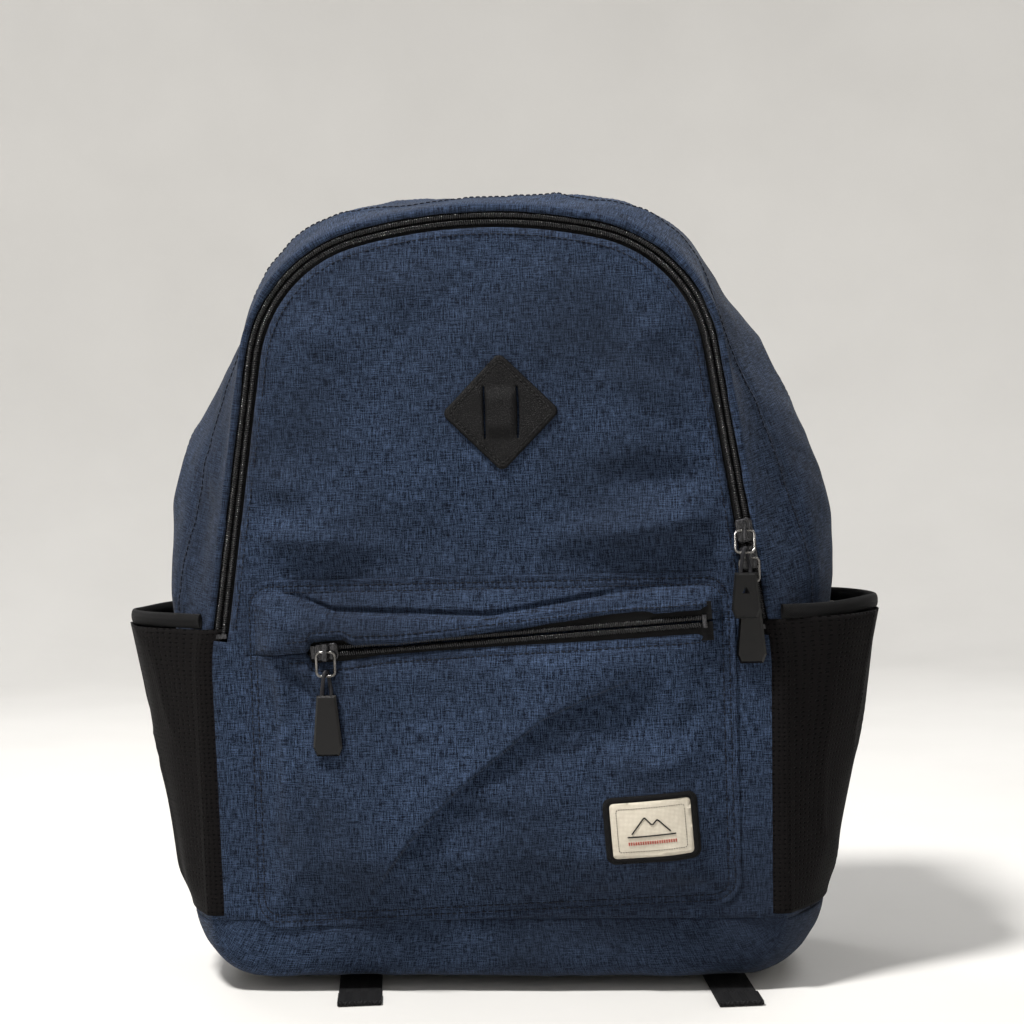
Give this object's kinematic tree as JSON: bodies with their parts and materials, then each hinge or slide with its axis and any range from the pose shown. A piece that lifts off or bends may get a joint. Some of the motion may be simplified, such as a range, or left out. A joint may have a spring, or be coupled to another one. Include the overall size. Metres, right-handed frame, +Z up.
{
  "type": "travel backpack",
  "caption": "Soft daypack with an arched zipped front that folds down, a zipped front pocket, mesh side pockets, padded shoulder straps and a laptop sleeve.",
  "frame": {"origin": "on the floor under the middle of the bag, at the bottom centre of its box", "axes": "+Z up, +X to the right as seen from the front, the front panel faces -Y and the shoulder straps face +Y"},
  "size_m": [0.4422, 0.2205, 0.4561],
  "materials": {
    "shell_cloth": "two-tone heathered navy plain weave, matt",
    "lining_cloth": "smooth dark lining",
    "foam": "closed-cell foam sheet in cloth",
    "side_mesh": "perforated stretch mesh, matt black",
    "air_mesh": "padded spacer mesh, matt black",
    "webbing": "ribbed black webbing",
    "binding": "folded black elastic binding",
    "zip_tape": "black herringbone zip tape",
    "zip_coil": "black nylon coil",
    "slider_metal": "black enamelled die casting",
    "ring_steel": "bright wire",
    "stop_metal": "black crimped stops",
    "pull_cord": "round braided cord",
    "pull_gloss": "glossy moulded black",
    "pull_matt": "satin moulded black",
    "lash_leather": "black grained faux leather",
    "label_rim": "black moulded rim",
    "label_cloth": "cream woven label",
    "acetal": "black acetal"
  },
  "bodies": {
    "root": {"top_gusset": "shell_cloth", "side_gusset_left": "shell_cloth", "side_gusset_right": "shell_cloth", "bottom_panel": "shell_cloth", "front_panel_lower": "shell_cloth", "front_pocket_band": "shell_cloth", "front_pocket_panel": "shell_cloth", "strap_yoke": "shell_cloth", "anchor_tab_left": "shell_cloth", "anchor_tab_right": "shell_cloth", "laptop_sleeve": "lining_cloth", "back_foam": "foam", "side_pocket_left": "side_mesh", "side_pocket_right": "side_mesh", "back_panel": "air_mesh", "back_pad_left": "air_mesh", "back_pad_right": "air_mesh", "lumbar_pad": "air_mesh", "strap_webbing_left": "webbing", "strap_webbing_right": "webbing", "strap_tail_left": "webbing", "strap_tail_right": "webbing", "pocket_binding_left": "binding", "pocket_binding_right": "binding", "sleeve_binding": "binding", "seam_binding": "binding", "zip_tape_outer": "zip_tape", "zip_tape_inner_lower": "zip_tape", "pocket_zip_tape_upper": "zip_tape", "pocket_zip_tape_lower": "zip_tape", "zip_coil_outer": "zip_coil", "zip_coil_inner_lower": "zip_coil", "pocket_zip_coil_upper": "zip_coil", "pocket_zip_coil_lower": "zip_coil", "zip_end_stops": "stop_metal", "pocket_zip_stops": "stop_metal", "label_frame": "label_rim", "label_face": "label_cloth"},
    "flap": {"front_panel_flap": "shell_cloth", "zip_tape_inner_flap": "zip_tape", "zip_coil_inner_flap": "zip_coil", "lash_tab": "lash_leather"},
    "slider_a": {"slider_a": "slider_metal"},
    "slider_b": {"slider_b": "slider_metal"},
    "pocket_slider": {"slider_pocket": "slider_metal"},
    "pull_a": {"pull_ring_a": "ring_steel", "pull_cord_a": "pull_cord", "pull_end_a": "pull_gloss"},
    "pull_b": {"pull_ring_b": "ring_steel", "pull_cord_b": "pull_cord", "pull_end_b": "pull_matt"},
    "pocket_pull": {"pull_ring_pocket": "ring_steel", "pull_cord_pocket": "pull_cord", "pull_end_pocket": "pull_gloss"},
    "grab_handle": {"grab_handle": "webbing"},
    "strap_left": {"shoulder_strap_left": "shell_cloth", "ladder_lock_left": "acetal"},
    "strap_right": {"shoulder_strap_right": "shell_cloth", "ladder_lock_right": "acetal"}
  },
  "joints": [
    {"name": "flap_fold", "type": "hinge", "parent": "root", "child": "flap", "pos_m": [0, -0.0816, 0.27], "axis": [1, 0, 0], "range_deg": [0, 105]},
    {"name": "slider_a_run", "type": "slide", "parent": "root", "child": "slider_a", "axis": [0.1478, 0, -0.989], "range_m": [0, 0.027]},
    {"name": "slider_b_run", "type": "slide", "parent": "root", "child": "slider_b", "axis": [0.1478, 0, -0.989], "range_m": [-0.07, 0]},
    {"name": "pull_a_swing", "type": "hinge", "parent": "slider_a", "child": "pull_a", "pos_m": [0.14697, -0.0856, 0.243], "axis": [1, 0, 0], "range_deg": [-150, 0]},
    {"name": "pull_b_swing", "type": "hinge", "parent": "slider_b", "child": "pull_b", "pos_m": [0.14473, -0.0856, 0.258], "axis": [1, 0, 0], "range_deg": [-150, 0]},
    {"name": "pocket_slider_run", "type": "slide", "parent": "root", "child": "pocket_slider", "axis": [0.9981, 0, 0.061], "range_m": [0, 0.2]},
    {"name": "pocket_pull_swing", "type": "hinge", "parent": "pocket_slider", "child": "pocket_pull", "pos_m": [-0.089, -0.0976, 0.19626], "axis": [1, 0, 0], "range_deg": [-150, 0]},
    {"name": "handle_swing", "type": "hinge", "parent": "root", "child": "grab_handle", "pos_m": [0, 0.0718, 0.436], "axis": [1, 0, 0], "range_deg": [0, 150]},
    {"name": "strap_left_swing", "type": "hinge", "parent": "root", "child": "strap_left", "pos_m": [-0.078, 0.0675, 0.4325], "axis": [1, 0, 0], "range_deg": [0, 14]},
    {"name": "strap_right_swing", "type": "hinge", "parent": "root", "child": "strap_right", "pos_m": [0.078, 0.0675, 0.4325], "axis": [1, 0, 0], "range_deg": [0, 14]}
  ],
  "couplings": [
    {"joint": "pull_b_swing", "follows": "pull_a_swing", "ratio": 1}
  ]
}
